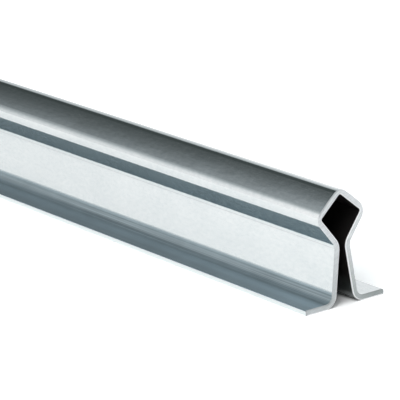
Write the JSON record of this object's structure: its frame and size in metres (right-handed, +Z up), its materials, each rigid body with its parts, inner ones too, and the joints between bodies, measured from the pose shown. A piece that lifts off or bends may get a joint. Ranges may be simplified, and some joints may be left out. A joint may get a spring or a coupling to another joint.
{
  "type": "v-groove gate track",
  "caption": "length of folded galvanised steel track whose inverted V head carries the grooved wheels of a sliding gate, on legs with turned-out feet set in concrete",
  "frame": {"origin": "middle of the length, midway between the feet, on the plane the feet stand on", "axes": "+X along the track, +Y across it, +Z up; the V's apex is on top"},
  "size_m": [3, 0.0422, 0.0517],
  "materials": {
    "galvanised_steel": "satin"
  },
  "bodies": {
    "root": {"gate_track": "galvanised_steel"}
  },
  "joints": []
}
